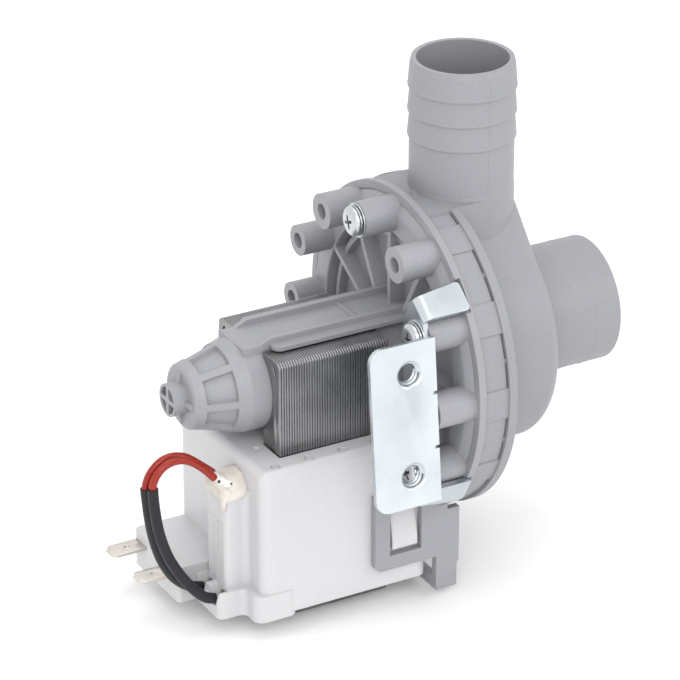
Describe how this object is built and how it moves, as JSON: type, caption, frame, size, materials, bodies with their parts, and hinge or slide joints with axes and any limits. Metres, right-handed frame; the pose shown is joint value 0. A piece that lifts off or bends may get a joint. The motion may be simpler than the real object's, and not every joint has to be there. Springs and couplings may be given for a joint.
{
  "type": "washer drain pump",
  "caption": "Synchronous wet-rotor drain pump with axial inlet, radial barbed outlet, ribbed rear cover, coil box and tapped mounting bracket.",
  "frame": {"origin": "centre of the inlet spigot's end", "axes": "+X along the pump axis out of the inlet, +Z along the outlet's axis out of the outlet"},
  "size_m": [0.1483, 0.0951, 0.1493],
  "materials": {
    "casing_plastic": "satin moulded plastic",
    "cover_plastic": "satin moulded plastic",
    "seal_rubber": "matte",
    "bearing_bush": "sintered",
    "core_steel": "stacked sheets with bare cut edges",
    "box_plastic": "satin moulded plastic",
    "former_plastic": "matte",
    "winding_wire": "enamelled copper",
    "fuse_metal": "bright",
    "silicone": "satin cured silicone",
    "tab_metal": "tin-plated",
    "lead_insulation": "satin insulation",
    "sleeve_plastic": "matte",
    "bracket_sheet": "zinc-plated",
    "screw_metal": "bright zinc-plated",
    "shaft_steel": "ground",
    "magnet": "sintered ferrite",
    "rotor_plastic": "matte",
    "impeller_plastic": "matte"
  },
  "bodies": {
    "pump_body": {"volute_casing": "casing_plastic", "inlet_spigot": "casing_plastic", "outlet_spigot": "casing_plastic", "casing_seal": "seal_rubber", "rear_cover": "cover_plastic", "rear_bearing": "bearing_bush", "front_bearing": "bearing_bush", "bearing_holder": "seal_rubber", "stator_core": "core_steel", "coil_box": "box_plastic", "coil_former_near": "former_plastic", "coil_former_far": "former_plastic", "winding_near": "winding_wire", "winding_far": "winding_wire", "thermal_fuse": "fuse_metal", "fuse_seal": "silicone", "terminal_near": "tab_metal", "terminal_far": "tab_metal", "lead_outer": "lead_insulation", "lead_inner": "lead_insulation", "sleeve_outer": "sleeve_plastic", "sleeve_inner": "sleeve_plastic", "mounting_bracket": "bracket_sheet", "screw_top": "screw_metal", "screw_side": "screw_metal", "bracket_screw_upper": "screw_metal", "bracket_screw_lower": "screw_metal"},
    "rotor": {"rotor_shaft": "shaft_steel", "rotor_magnet": "magnet", "rotor_carrier": "rotor_plastic", "thrust_washer_rear": "shaft_steel", "thrust_washer_front": "shaft_steel", "drive_dog": "rotor_plastic"},
    "impeller": {"impeller": "impeller_plastic", "clutch_cover": "impeller_plastic", "impeller_cap": "impeller_plastic"}
  },
  "joints": [
    {"name": "rotor_spin", "type": "hinge", "parent": "pump_body", "child": "rotor", "pos_m": [0, 0, 0], "axis": [1, 0, 0], "continuous": true},
    {"name": "impeller_clutch", "type": "hinge", "parent": "rotor", "child": "impeller", "pos_m": [0, 0, 0], "axis": [1, 0, 0], "range_deg": [-126, 126]}
  ]
}
